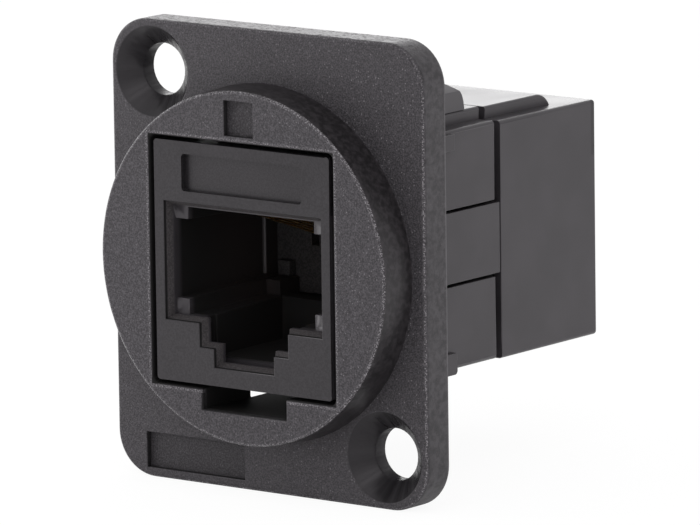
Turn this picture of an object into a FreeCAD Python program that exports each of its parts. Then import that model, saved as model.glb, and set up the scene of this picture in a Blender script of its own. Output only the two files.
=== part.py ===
# A panel-mount feed-through telephone socket on a D-size flange, in millimetres.
# The origin is the middle of the flange's rear face, which seats on the panel.
# The front socket looks along -Y, the rear socket along +Y, and +Z is up.
import FreeCAD, Part
import Sketcher
import math
import os
import re

SIZES = {
    # flange with two countersunk screw holes on a diagonal
    "flange_width": 26.0,
    "flange_height": 31.0,
    "flange_thickness": 2.4,
    "flange_corner": 3.0,
    "flange_edge": 0.3,
    "screw_across": 19.0,
    "screw_apart": 24.0,
    "screw_bore": 3.5,
    "screw_sink": 6.1,
    "sink_angle": 90.0,
    # round boss on the flange, a little wider at its foot, with a bevelled rim
    "boss_wall": 0.52,
    "boss_flare": 0.17,
    "boss_height": 2.8,
    "boss_edge": 0.1,
    # window round the coupler's face, and the slot under it
    "window_gap": 0.26,
    "window_side_gap": 0.33,
    "window_corner": 0.45,
    "window_edge": 0.2,
    "slot_width": 7.0,
    "slot_height": 1.4,
    # shallow bare fields: on the boss, on the flange and over the socket
    "field_depth": 0.43,
    "badge_width": 2.4,
    "badge_height": 2.35,
    "badge_left": 0.1,
    "badge_up": 9.95,
    "plate_width": 8.3,
    "plate_height": 2.4,
    "plate_across": 6.35,
    "plate_down": 13.65,
    "label_width": 10.0,
    "label_height": 2.5,
    "label_up": 6.0,
    "label_corner": 0.25,
    # tongue over the coupler and snap arm under it, both behind the flange
    "tongue_thickness": 2.0,
    "tongue_short": 1.6,
    "tongue_foot": 0.05,
    "tongue_shoulder": 0.73,
    "tongue_lean": 1.4,
    "arm_thickness": 1.3,
    "arm_short": 0.95,
    "arm_slope": 1.2,
    "tooth_length": 0.8,
    "tooth_height": 2.4,
    "tooth_play": 0.2,
    # coupler body in two halves with a gap between them, the rear half a little lower
    "body_width": 14.6,
    "body_height": 16.15,
    "body_edge": 0.25,
    "face_recess": 0.1,
    "front_length": 18.05,
    "halves_gap": 0.65,
    "rear_sag": 0.1,
    # raised strip along the top of both halves, rounded down at its rear end
    "strip_margin": 1.25,
    "strip_height": 0.85,
    "strip_back": 4.9,
    "strip_round": 1.6,
    "strip_edge": 0.2,
    # stop ribs on the sides of the front half, which bear on the flange
    "rib_proud": 0.35,
    "rib_length": 8.1,
    "rib_height": 1.1,
    "rib_up": 7.3,
    "foot_height": 1.45,
    "foot_drop": 0.25,
    "foot_round": 0.3,
    # snap arms in the sides of the front half
    "clip_wall": 0.6,
    "clip_height": 4.8,
    "clip_up": 0.12,
    "clip_slit": 0.2,
    "clip_length": 6.7,
    "clip_past": 0.55,
    "catch_depth": 0.4,
    "catch_length": 0.9,
    # mouth of each socket: a short land, then a sloping lead-in, with a stepped notch for the plug's latch
    "mouth_wall": 0.75,
    "mouth_high": 3.98,
    "mouth_low": 3.98,
    "land_depth": 0.2,
    "lead_in": 0.6,
    "lead_inset": 0.29,
    "rail_depth": 0.95,
    "step_width": 7.4,
    "step_low": 5.6,
    "notch_width": 5.0,
    "notch_low": 6.85,
    "undercut": 0.2,
    "undercut_length": 0.95,
    "room_low": 6.4,
    "latch_room": 8.9,
    # drafted throat behind the mouth: guide rails in its corners, then a narrower bore
    "throat_high": 3.52,
    "rail_width": 1.3,
    "rail_top": 0.83,
    "rail_foot": 1.05,
    "throat_depth": 10.0,
    "throat_draft": 1.5,
    "bore_high": 5.6,
    "stop_width": 2.0,
    "stop_height": 1.2,
    "stop_depth": 8.95,
    # skirt of the rear half, inside the front half
    "skirt_wall": 0.7,
    "skirt_length": 2.8,
    # insulator that holds one row of contacts
    "slide_gap": 0.1,
    "nose_depth": 4.65,
    "slab_low": 3.35,
    "back_depth": 11.15,
    "back_wall": 2.85,
    "comb_low": 0.3,
    "comb_depth": 0.9,
    "comb_width": 0.62,
    "knob_width": 1.0,
    "knob_height": 1.0,
    "knob_length": 0.7,
    "relief_depth": 0.8,
    # contact wires: six on each side, flat springs bent round the insulator's nose
    "wire_width": 0.46,
    "wire_thickness": 0.3,
    "wire_pitch": 1.02,
    "wire_level": 4.95,
    "wire_bend": 1.0,
    "bend_back": 0.1,
    "wire_kink": 0.4,
    "tip_past": 0.45,
    "wire_dip": 0.5,
    "wire_play": 0.05,
    "row_drop": 1.27,
    "kink_back": 1.925,
    "tail_past": 0.6,
    # board between the two insulators
    "board_thickness": 1.6,
    "hole_width": 0.62,
    # room that pieces which only touch leave each other
    "seat_gap": 0.05,
}
CONTACTS = 6
CLOSE = 1e-4
PLANES = {"front": "XZ_Plane", "side": "YZ_Plane"}

# Places worked out from the sizes. Depths are counted from a socket's own face.
FRONT = "(flange_thickness + boss_height)"
FACE = f"({FRONT} - face_recess)"
SEAT = f"({FACE} + seat_gap)"
HALF_WIDTH = "(body_width / 2)"
HALF_HEIGHT = "(body_height / 2)"
REAR_TOP = f"({HALF_HEIGHT} - rear_sag)"
WINDOW_SIDE = f"({HALF_WIDTH} + window_side_gap)"
WINDOW_LOW = f"({HALF_HEIGHT} + window_gap)"
BOSS_RADIUS = f"(sqrt({WINDOW_SIDE}^2 + {WINDOW_LOW}^2) + boss_wall)"
SLOT_LOW = f"({WINDOW_LOW} + slot_height)"
TONGUE_REACH = f"(front_length - {FACE} - tongue_short)"
ARM_REACH = f"(front_length - {FACE} - arm_short)"
STRIP_WIDTH = "(body_width - 2 * strip_margin)"
BOARD_FACE = "(back_depth + back_wall)"
COUPLER_LENGTH = f"(2 * {BOARD_FACE} + board_thickness)"
REAR_LENGTH = f"({COUPLER_LENGTH} - front_length - halves_gap)"
SKIRT_END = f"({REAR_LENGTH} + skirt_length)"
SLEEVE_START = f"({COUPLER_LENGTH} - {SKIRT_END} - slide_gap)"
MOUTH_WIDTH = "(body_width - 2 * mouth_wall)"
RAIL_GAP = f"({MOUTH_WIDTH} - 2 * rail_width)"
SKIRT_WIDTH = "(body_width - 2 * clip_wall - 2 * slide_gap)"
BORE_WIDTH = f"({SKIRT_WIDTH} - 2 * skirt_wall)"
STOP_GAP = f"({BORE_WIDTH} - 2 * stop_width)"
THROAT_LOW = "(mouth_low - lead_inset)"
STOP_TOP = f"(stop_height - {THROAT_LOW})"
CARRIER_WIDTH = f"({BORE_WIDTH} - 2 * slide_gap)"
CARRIER_LOW = f"({THROAT_LOW} - slide_gap)"
CARRIER_HIGH = "(bore_high - slide_gap)"
GROOVE_WIDTH = "(wire_width + 2 * wire_play)"
GROOVE_FLOOR = "(wire_level - wire_thickness / 2 - wire_play)"
LOW_ROW = "(wire_level - row_drop)"
KINK_DEPTH = f"({BOARD_FACE} - kink_back)"
WIRE_TIP = "(back_depth + tip_past)"
TAIL_END = f"({BOARD_FACE} + board_thickness + tail_past)"

doc = FreeCAD.newDocument("feed_through_socket")
sheet = doc.addObject("Spreadsheet::Sheet", "Sizes")


def enter_sizes():
    """writes every driving dimension into the sheet under its name"""
    for row, (name, value) in enumerate(SIZES.items(), start=1):
        sheet.set(f"A{row}", name)
        sheet.set(f"B{row}", str(value))
        sheet.setAlias(f"B{row}", name)
    doc.recompute()


def bound(text):
    """an expression in the sheet's names, made to point at the sheet's cells"""
    return re.sub("[a-z_]+", lambda word: "Sizes." + word[0] if word[0] in SIZES else word[0], text)


def value(text):
    """what an expression in the sheet's names comes to"""
    return float(sheet.evalExpression(text))


def new_body(label):
    body = doc.addObject("PartDesign::Body", label)
    body.Label = label
    return body


def new_sketch(body, name, view, at="0"):
    """a sketch seen from the front at a depth along Y, or from the side at a place along X"""
    sketch = body.newObject("Sketcher::SketchObject", name + "_sketch")
    plane = next(part for part in body.Origin.OriginFeatures if part.Role == PLANES[view])
    sketch.AttachmentSupport = [(plane, "")]
    sketch.MapMode = "FlatFace"
    way = "-1" if view == "front" else "1"
    sketch.setExpression("AttachmentOffset.Base.z", bound(f"{way} * ({at})"))
    return sketch


def fix(sketch, kind, geometry, point, text):
    """holds one sketched point, or one radius, at what an expression says"""
    where = (geometry,) if point is None else (geometry, point)
    index = sketch.addConstraint(Sketcher.Constraint(kind, *where, value(text)))
    name = f"{kind}_{index}"
    sketch.renameConstraint(index, name)
    sketch.setExpression(f"Constraints.{name}", bound(text))


def place(sketch, geometry, point, across, up):
    fix(sketch, "DistanceX", geometry, point, across)
    fix(sketch, "DistanceY", geometry, point, up)


def line(sketch, start, end):
    ends = [FreeCAD.Vector(x, y, 0) for x, y in (start, end)]
    return sketch.addGeometry(Part.LineSegment(*ends))


def arc(sketch, centre, radius, first, last):
    circle = Part.Circle(FreeCAD.Vector(*centre, 0), FreeCAD.Vector(0, 0, 1), radius)
    return sketch.addGeometry(Part.ArcOfCircle(circle, math.radians(first), math.radians(last)))


def join(sketch, kind, first, first_point, second, second_point):
    sketch.addConstraint(Sketcher.Constraint(kind, first, first_point, second, second_point))


def outline(sketch, corners):
    """a closed outline of straight lines through corners given as expressions"""
    points = [(value(across), value(up)) for across, up in corners]
    sides = [line(sketch, point, points[i - len(points) + 1]) for i, point in enumerate(points)]
    for i, side in enumerate(sides):
        join(sketch, "Coincident", side, 2, sides[i - len(sides) + 1], 1)
        place(sketch, side, 1, *corners[i])


def circle(sketch, diameter, across, up):
    spot = FreeCAD.Vector(value(across), value(up), 0)
    made = sketch.addGeometry(Part.Circle(spot, FreeCAD.Vector(0, 0, 1), value(diameter) / 2))
    fix(sketch, "Diameter", made, None, diameter)
    place(sketch, made, 3, across, up)


def rectangle(left, right, low, high):
    return [(left, low), (right, low), (right, high), (left, high)]


def centred(width, low, high):
    return rectangle(f"-({width}) / 2", f"({width}) / 2", low, high)


def both_sides(near, far, low, high):
    """two like rectangles, on the right and on the left"""
    return [rectangle(near, far, low, high), rectangle(f"-({far})", f"-({near})", low, high)]


def extrude(body, kind, name, outlines, start, length):
    """pads or pockets outlines seen from the front, from a depth on toward the rear"""
    sketch = new_sketch(body, name, "front", start)
    for corners in outlines:
        outline(sketch, corners)
    doc.recompute()
    before = body.Shape.Volume if body.Tip else 0.0
    made = body.newObject(f"PartDesign::{kind}", name)
    made.Profile = sketch
    made.setExpression("Length", bound(length))
    made.Reversed = kind == "Pad"
    doc.recompute()
    change = body.Shape.Volume - before
    if (change > 0) != (kind == "Pad") or change == 0:
        raise ValueError(f"{body.Label}: {name} changes the volume by {change:.4f}")
    return made


def pad(body, name, outlines, start, length):
    return extrude(body, "Pad", name, outlines, start, length)


def pocket(body, name, outlines, start, length):
    return extrude(body, "Pocket", name, outlines, start, length)


def across(body, kind, name, sketch, width):
    """pads or pockets an outline seen from the side evenly to the right and left"""
    made = body.newObject(f"PartDesign::{kind}", name)
    made.Profile = sketch
    made.SideType = "Symmetric"
    made.setExpression("Length", bound(width))
    doc.recompute()
    return made


def round_edges(body, name, radius, test):
    """rounds the edges of the body as it stands whose two ends pass a test"""
    base = body.Tip
    names = []
    for number, edge in enumerate(base.Shape.Edges, start=1):
        if test(edge):
            names.append(f"Edge{number}")
    made = body.newObject("PartDesign::Fillet", name)
    made.Base = (base, names)
    made.setExpression("Radius", bound(radius))
    doc.recompute()
    return made


def near(first, second):
    return abs(first - second) < CLOSE


def along(edge, axis):
    """whether an edge is straight and runs along an axis: 0 for X, 1 for Y, 2 for Z"""
    box = edge.BoundBox
    span = (box.XLength, box.YLength, box.ZLength)[axis]
    return span > CLOSE and near(span, edge.Length)


def at_corner(edge, half_width, half_height):
    """whether an edge runs along Y at a corner of a centred rectangle"""
    middle = edge.BoundBox.Center
    return along(edge, 1) and near(abs(middle.x), half_width) and near(abs(middle.z), half_height)


def in_plane(edge, depth):
    box = edge.BoundBox
    return near(box.YMin, depth) and near(box.YMax, depth)


def flange_frame():
    """flange, boss, window, tongue and snap arm in one moulding"""
    body = new_body("flange_frame")
    half_width, half_height = "flange_width / 2", "flange_height / 2"
    plate = centred("flange_width", f"-{half_height}", half_height)
    pad(body, "flange", [plate], "-flange_thickness", "flange_thickness")
    round_edges(body, "flange_corners", "flange_corner",
                lambda edge: at_corner(edge, value(half_width), value(half_height)))
    round_edges(body, "flange_rounding", "flange_edge",
                lambda edge: in_plane(edge, -value("flange_thickness")))
    boss = new_sketch(body, "boss", "side")
    outline(boss, [("-flange_thickness", "0"), ("-flange_thickness", f"{BOSS_RADIUS} + boss_flare"),
                   (f"boss_edge - {FRONT}", BOSS_RADIUS), (f"-{FRONT}", f"{BOSS_RADIUS} - boss_edge"),
                   (f"-{FRONT}", "0")])
    turned = body.newObject("PartDesign::Revolution", "boss")
    turned.Profile = boss
    turned.ReferenceAxis = (boss, ["H_Axis"])
    turned.Angle = 360
    doc.recompute()
    window = centred(f"2 * {WINDOW_SIDE}", f"-{WINDOW_LOW}", WINDOW_LOW)
    pocket(body, "window", [window], f"-{FRONT}", FRONT)
    round_edges(body, "window_corners", "window_corner",
                lambda edge: at_corner(edge, value(WINDOW_SIDE), value(WINDOW_LOW)))
    pocket(body, "slot", [centred("slot_width", f"-{SLOT_LOW}", "0")], f"-{FRONT}", FRONT)
    round_edges(body, "window_rounding", "window_edge", window_rim)
    badge = rectangle("-badge_left - badge_width / 2", "-badge_left + badge_width / 2",
                      "badge_up - badge_height / 2", "badge_up + badge_height / 2")
    pocket(body, "badge_field", [badge], f"-{FRONT}", "field_depth")
    name_plate = rectangle("-plate_across - plate_width / 2", "-plate_across + plate_width / 2",
                           "-plate_down - plate_height / 2", "-plate_down + plate_height / 2")
    pocket(body, "plate_field", [name_plate], "-flange_thickness", "field_depth")
    screw_holes(body)
    tongue(body)
    snap_arm(body)
    return body


def window_rim(edge):
    """whether an edge is on the rim of the window or its slot, in the boss's face"""
    box = edge.BoundBox
    reach = max(box.XMax, -box.XMin) - value(WINDOW_SIDE)
    return in_plane(edge, -value(FRONT)) and reach < CLOSE


def tongue(body):
    """the tongue over the coupler, with a round end and shoulders cut to pass a round panel hole"""
    low = f"({HALF_HEIGHT} + strip_height + seat_gap)"
    high = f"({low} + tongue_thickness)"
    side = f"({STRIP_WIDTH} / 2)"
    sketch = new_sketch(body, "tongue", "side")
    outline(sketch, rectangle("0", TONGUE_REACH, low, high))
    across(body, "Pad", "tongue", sketch, STRIP_WIDTH)
    round_edges(body, "tongue_end", "tongue_thickness - tongue_foot",
                lambda edge: tongue_end(edge, value(high)))
    right = [(side, f"{high} - tongue_shoulder"), (side, high), (f"({side} - tongue_lean)", high)]
    left = [(f"-{x}", z) for x, z in right]
    pocket(body, "tongue_shoulders", [right, left], "0", TONGUE_REACH)


def tongue_end(edge, high):
    """whether an edge is the upper one across the tongue's end"""
    middle = edge.BoundBox.Center
    return along(edge, 0) and in_plane(edge, value(TONGUE_REACH)) and near(middle.z, high)


def snap_arm(body):
    """the arm under the coupler, with a tooth that catches in the front half"""
    tooth_high = f"({SLOT_LOW} - tooth_height)"
    tooth_end = f"({ARM_REACH} - arm_slope)"
    sketch = new_sketch(body, "snap_arm", "side")
    outline(sketch, [("0", f"-{SLOT_LOW}"), (f"{tooth_end} - tooth_length", f"-{SLOT_LOW}"),
                     (f"{tooth_end} - tooth_length", f"-{tooth_high}"), (tooth_end, f"-{tooth_high}"),
                     (ARM_REACH, f"-{SLOT_LOW}"), (ARM_REACH, f"-{SLOT_LOW} - arm_thickness"),
                     ("0", f"-{SLOT_LOW} - arm_thickness")])
    across(body, "Pad", "snap_arm", sketch, "slot_width")


def screw_holes(body):
    """one countersunk hole at the upper left and one at the lower right"""
    sketch = new_sketch(body, "screw_holes", "front", "-flange_thickness")
    circle(sketch, "screw_bore", "-screw_across / 2", "screw_apart / 2")
    circle(sketch, "screw_bore", "screw_across / 2", "-screw_apart / 2")
    doc.recompute()
    holes = body.newObject("PartDesign::Hole", "screw_holes")
    holes.Profile = sketch
    holes.ThreadType = "None"
    holes.DepthType = "ThroughAll"
    holes.HoleCutType = "Countersink"
    holes.HoleCutCustomValues = True
    holes.setExpression("Diameter", bound("screw_bore"))
    holes.setExpression("HoleCutDiameter", bound("screw_sink"))
    holes.setExpression("HoleCutCountersinkAngle", bound("sink_angle"))
    doc.recompute()


def shell(body, length, drop, round_end):
    """the outer block of one half, rounded along its length and, where asked, at its outer end"""
    block = centred("body_width", f"-{HALF_HEIGHT} - {drop}", f"{HALF_HEIGHT} - {drop}")
    pad(body, "block", [block], "0", length)
    round_edges(body, "block_edges", "body_edge",
                lambda edge: along(edge, 1) or (round_end and in_plane(edge, 0)))


def mouth_outline(inset):
    """the mouth with its stepped latch notch below, drawn in by an inset on every side"""
    side, top = f"({MOUTH_WIDTH} / 2 - {inset})", f"(mouth_high - {inset})"
    step, notch = f"(step_width / 2 - {inset})", f"(notch_width / 2 - {inset})"
    floor, ledge, bottom = [f"({inset} - {low})" for low in ("mouth_low", "step_low", "notch_low")]
    right = [(notch, bottom), (notch, ledge), (step, ledge), (step, floor), (side, floor), (side, top)]
    return right + [(f"-{far}", up) for far, up in reversed(right)]


def socket(body, length):
    """cuts one modular socket into a half: lead-in, latch notch, throat with rails, and bore"""
    pocket(body, "mouth_land", [mouth_outline("0")], "0", "land_depth")
    lead = pocket(body, "lead_in", [mouth_outline("0")], "land_depth", "lead_in - land_depth")
    lead.setExpression("TaperAngle", bound("-atan(lead_inset / (lead_in - land_depth))"))
    pocket(body, "mouth", [mouth_outline("lead_inset")], "lead_in", "rail_depth - lead_in")
    room = centred("step_width", "-room_low", "0")
    pocket(body, "latch_room", [room], "rail_depth", "latch_room - rail_depth")
    undercut = centred("step_width + 2 * undercut", "-notch_low - undercut", "0")
    pocket(body, "latch_undercut", [undercut], "rail_depth", "undercut_length")
    foot, brow = f"(rail_foot - {THROAT_LOW})", "(throat_high - rail_top)"
    rail, wall = f"{RAIL_GAP} / 2", f"({MOUTH_WIDTH} / 2 - lead_inset)"
    throat = [(f"-{rail}", f"-{THROAT_LOW}"), (rail, f"-{THROAT_LOW}"), (rail, foot), (wall, foot),
              (wall, brow), (rail, brow), (rail, "throat_high"), (f"-{rail}", "throat_high"),
              (f"-{rail}", brow), (f"-{wall}", brow), (f"-{wall}", foot), (f"-{rail}", foot)]
    drafted = pocket(body, "throat", [throat], "rail_depth", "throat_depth - rail_depth")
    drafted.setExpression("TaperAngle", bound("-throat_draft"))
    bore = centred(BORE_WIDTH, f"-{THROAT_LOW}", "bore_high")
    pocket(body, "bore", [bore], "throat_depth", f"{length} - throat_depth")
    nose_room = "(nose_depth - wire_bend - wire_thickness)"
    pocket(body, "nose_room", [centred(BORE_WIDTH, "slab_low - slide_gap", "bore_high")],
           nose_room, f"{length} - {nose_room}")
    stops = both_sides(f"{STOP_GAP} / 2", f"{BORE_WIDTH} / 2 + seat_gap",
                       f"-{THROAT_LOW} - seat_gap", STOP_TOP)
    pad(body, "plug_stops", stops, "stop_depth", "back_depth - seat_gap - stop_depth")


def front_housing():
    body = new_body("front_housing")
    shell(body, "front_length", "0", False)
    strip = centred(STRIP_WIDTH, f"{HALF_HEIGHT} - strip_height", f"{HALF_HEIGHT} + strip_height")
    pad(body, "strip", [strip], SEAT, f"front_length - {SEAT}")
    round_strip(body, HALF_HEIGHT)
    inside, outside = f"({HALF_WIDTH} - skirt_wall / 2)", f"({HALF_WIDTH} + rib_proud)"
    foot_low = f"(-{HALF_HEIGHT} - foot_drop)"
    ribs = both_sides(inside, outside, "rib_up - rib_height / 2", "rib_up + rib_height / 2")
    feet = both_sides(inside, outside, foot_low, f"{foot_low} + foot_height")
    pad(body, "stop_ribs", ribs + feet, SEAT, "rib_length")
    foot_end = f"({SEAT} + rib_length)"
    round_edges(body, "foot_rounding", "foot_round",
                lambda edge: lower_end(edge, value(foot_end), value(foot_low)))
    sleeve_half = f"({SKIRT_WIDTH} / 2 + slide_gap)"
    clip_low, clip_high = "(clip_up - clip_height / 2)", "(clip_up + clip_height / 2)"
    clips = both_sides(sleeve_half, HALF_WIDTH, clip_low, clip_high)
    pad(body, "clip_ends", clips, "front_length", "clip_past")
    socket(body, "front_length")
    sleeve = centred(f"2 * {sleeve_half}", f"-{THROAT_LOW} - skirt_wall - slide_gap",
                     "bore_high + skirt_wall + slide_gap")
    pocket(body, "sleeve", [sleeve], SLEEVE_START, f"front_length + clip_past - {SLEEVE_START}")
    inner = f"{BORE_WIDTH} / 2"
    over = both_sides(inner, f"{HALF_WIDTH} + seat_gap", clip_high, f"{clip_high} + clip_slit")
    under = both_sides(inner, f"{HALF_WIDTH} + seat_gap", f"{clip_low} - clip_slit", clip_low)
    pocket(body, "clip_slits", over + under, "front_length - clip_length", "clip_length")
    teeth = both_sides(f"{sleeve_half} - catch_depth", f"{sleeve_half} + seat_gap", clip_low, clip_high)
    pad(body, "clip_teeth", teeth, "front_length - catch_length", "catch_length")
    label = centred("label_width", "label_up - label_height / 2", "label_up + label_height / 2")
    pocket(body, "label_field", [label], "0", "field_depth")
    round_edges(body, "label_corners", "label_corner", label_edge)
    pit_top = f"-{SLOT_LOW} + tooth_height + tooth_play"
    pit = centred("slot_width + 2 * tooth_play", f"-{HALF_HEIGHT}", pit_top)
    pit_start = f"({FACE} + {ARM_REACH} - arm_slope - tooth_length - tooth_play)"
    pocket(body, "tooth_pit", [pit], pit_start, "tooth_length + arm_slope + 2 * tooth_play")
    body.setExpression("Placement.Base.y", bound(f"-{FACE}"))
    return body


def lower_end(edge, depth, low):
    """whether an edge runs across the lower rear corner of a stop rib's foot"""
    middle = edge.BoundBox.Center
    return along(edge, 0) and near(middle.y, depth) and near(middle.z, low)


def label_edge(edge):
    middle = edge.BoundBox.Center
    inside = abs(middle.x) < value("label_width") / 2 + CLOSE
    return along(edge, 1) and near(edge.Length, value("field_depth")) and inside


def turned_to_rear(body):
    """turns a piece that is made like the front socket's to the rear end"""
    body.Placement.Rotation = FreeCAD.Rotation(FreeCAD.Vector(0, 0, 1), 180)
    body.setExpression("Placement.Base.y", bound(f"{COUPLER_LENGTH} - {FACE}"))
    return body


def rear_housing():
    body = new_body("rear_housing")
    shell(body, REAR_LENGTH, "rear_sag", True)
    rear_strip(body)
    skirt = centred(SKIRT_WIDTH, f"-{THROAT_LOW} - skirt_wall", "bore_high + skirt_wall")
    pad(body, "skirt", [skirt], REAR_LENGTH, "skirt_length")
    socket(body, SKIRT_END)
    half = f"({SKIRT_WIDTH} / 2)"
    low, high = "(clip_up - clip_height / 2 - slide_gap)", "(clip_up + clip_height / 2 + slide_gap)"
    catches = both_sides(f"{half} - catch_depth", f"{half} + seat_gap", low, high)
    pocket(body, "catch_pits", catches, f"{REAR_LENGTH} + halves_gap - slide_gap",
           "catch_length + 2 * slide_gap")
    return turned_to_rear(body)


def rear_strip(body):
    """the strip on the rear half, which curves down to the block at its far end"""
    sketch = new_sketch(body, "strip", "side")
    top, foot = f"({REAR_TOP} + strip_height)", f"({REAR_TOP} - strip_height)"
    radius = value("strip_round")
    centre = (value("strip_back"), value(top) - radius)
    end_angle = 180 - math.degrees(math.asin((radius - value("strip_height")) / radius))
    end = (centre[0] + radius * math.cos(math.radians(end_angle)), value(REAR_TOP))
    corner = (value(REAR_LENGTH), value(top))
    over = line(sketch, corner, (centre[0], corner[1]))
    curve = arc(sketch, centre, radius, 90, end_angle)
    drop = line(sketch, end, (end[0], value(foot)))
    under = line(sketch, (end[0], value(foot)), (corner[0], value(foot)))
    back = line(sketch, (corner[0], value(foot)), corner)
    join(sketch, "Tangent", over, 2, curve, 1)
    join(sketch, "Coincident", curve, 2, drop, 1)
    join(sketch, "Coincident", drop, 2, under, 1)
    join(sketch, "Coincident", under, 2, back, 1)
    join(sketch, "Coincident", back, 2, over, 1)
    for side in (over, under):
        sketch.addConstraint(Sketcher.Constraint("Horizontal", side))
    for side in (drop, back):
        sketch.addConstraint(Sketcher.Constraint("Vertical", side))
    place(sketch, over, 1, REAR_LENGTH, top)
    fix(sketch, "DistanceX", over, 2, "strip_back")
    fix(sketch, "Radius", curve, None, "strip_round")
    fix(sketch, "DistanceY", curve, 2, REAR_TOP)
    fix(sketch, "DistanceY", under, 1, foot)
    across(body, "Pad", "strip", sketch, STRIP_WIDTH)
    round_strip(body, REAR_TOP)


def round_strip(body, foot):
    """rounds the two long edges along the top of a half's strip"""
    half, top = value(STRIP_WIDTH) / 2, value(foot) + value("strip_height")
    round_edges(body, "strip_edges", "strip_edge", lambda edge: at_corner(edge, half, top))


def wire_across(number):
    """where a contact stands along X, in its own socket's frame"""
    return f"(wire_pitch * ({number} - {(CONTACTS + 1) / 2}))"


def carrier(label):
    """the insulator: a slab over the plug and a back wall, grooved for the wires"""
    body = new_body(label)
    sketch = new_sketch(body, "profile", "side")
    outline(sketch, [("nose_depth", "slab_low"), ("back_depth", "slab_low"),
                     ("back_depth", f"-{CARRIER_LOW}"), (BOARD_FACE, f"-{CARRIER_LOW}"),
                     (BOARD_FACE, CARRIER_HIGH), ("nose_depth", CARRIER_HIGH)])
    across(body, "Pad", "profile", sketch, CARRIER_WIDTH)
    grooves, combs, deep = [], [], []
    for number in range(1, CONTACTS + 1):
        middle = wire_across(number)
        left, right = f"{middle} - {GROOVE_WIDTH} / 2", f"{middle} + {GROOVE_WIDTH} / 2"
        grooves.append(rectangle(left, right, GROOVE_FLOOR, f"{CARRIER_HIGH} + seat_gap"))
        comb_left, comb_right = f"{middle} - comb_width / 2", f"{middle} + comb_width / 2"
        combs.append(rectangle(comb_left, comb_right, "-comb_low", "slab_low"))
        if number % 2 == 0:
            deep.append(rectangle(left, right, f"{GROOVE_FLOOR} - row_drop", CARRIER_HIGH))
    pocket(body, "grooves", grooves, "nose_depth", f"{BOARD_FACE} - nose_depth")
    pocket(body, "combs", combs, "back_depth", "comb_depth")
    pocket(body, "deep_grooves", deep, f"{KINK_DEPTH} - wire_kink", "kink_back + wire_kink")
    relief = centred(f"wire_pitch * {CONTACTS}", f"{GROOVE_FLOOR} - row_drop",
                     f"{CARRIER_HIGH} + seat_gap")
    pocket(body, "tail_relief", [relief], f"{BOARD_FACE} - relief_depth", "relief_depth")
    knob_low = f"({STOP_TOP} + seat_gap)"
    knobs = both_sides(f"{RAIL_GAP} / 2 - knob_width", f"{RAIL_GAP} / 2", knob_low,
                       f"{knob_low} + knob_height")
    pad(body, "knobs", knobs, "back_depth - knob_length", "knob_length")
    return body


def circuit_board():
    """the board, with a hole for every wire's tail in two staggered rows"""
    body = new_body("circuit_board")
    sketch = new_sketch(body, "board", "front", BOARD_FACE)
    outline(sketch, centred(CARRIER_WIDTH, f"-{CARRIER_LOW}", CARRIER_HIGH))
    for number in range(1, CONTACTS + 1):
        for level in ("wire_level", LOW_ROW):
            circle(sketch, "hole_width", wire_across(number), level)
    doc.recompute()
    made = body.newObject("PartDesign::Pad", "board")
    made.Profile = sketch
    made.Reversed = True
    made.setExpression("Length", bound("board_thickness"))
    body.setExpression("Placement.Base.y", bound(f"-{FACE}"))
    return body


def spring(sketch, start):
    """the straight run forward, the bend round the nose and the springy leg, from a line's start"""
    radius = value("wire_bend")
    nose = (value("nose_depth + bend_back"), value("wire_level"))
    centre = (nose[0], nose[1] - radius)
    tip = (value(WIRE_TIP), value("wire_dip"))
    reach = math.hypot(tip[0] - centre[0], tip[1] - centre[1])
    slope = math.acos(radius / reach) - math.atan2(tip[0] - centre[0], centre[1] - tip[1])
    touch = (centre[0] - radius * math.sin(slope), centre[1] - radius * math.cos(slope))
    run = line(sketch, start, nose)
    bend = arc(sketch, centre, radius, 90, 270 - math.degrees(slope))
    leg = line(sketch, touch, tip)
    join(sketch, "Tangent", run, 2, bend, 1)
    join(sketch, "Tangent", bend, 2, leg, 1)
    sketch.addConstraint(Sketcher.Constraint("Horizontal", run))
    fix(sketch, "DistanceX", run, 2, "nose_depth + bend_back")
    fix(sketch, "Radius", bend, None, "wire_bend")
    place(sketch, leg, 2, WIRE_TIP, "wire_dip")
    return run


def kinked_tail(sketch, tail, run):
    """the tail of every second wire, which steps down to the board's lower row"""
    radius = value("wire_kink")
    high, low = value("wire_level"), value(LOW_ROW)
    slant = radius * math.sqrt(0.5)
    upper = (value(KINK_DEPTH), high - radius)
    first = (upper[0] + slant, upper[1] + slant)
    drop = first[1] - (low + radius - slant)
    second = (first[0] + drop, first[1] - drop)
    lower = (second[0] + slant, low + radius)
    end = line(sketch, tail, (lower[0], low))
    bottom = arc(sketch, lower, radius, 225, 270)
    ramp = line(sketch, second, first)
    top = arc(sketch, upper, radius, 45, 90)
    join(sketch, "Tangent", end, 2, bottom, 2)
    join(sketch, "Tangent", bottom, 1, ramp, 1)
    join(sketch, "Tangent", ramp, 2, top, 1)
    join(sketch, "Tangent", top, 2, run, 1)
    sketch.addConstraint(Sketcher.Constraint("Horizontal", end))
    sketch.addConstraint(Sketcher.Constraint("Equal", bottom, top))
    sketch.addConstraint(Sketcher.Constraint("Angle", ramp, math.radians(135)))
    fix(sketch, "Radius", top, None, "wire_kink")
    place(sketch, run, 1, KINK_DEPTH, "wire_level")
    place(sketch, end, 1, TAIL_END, LOW_ROW)


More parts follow.
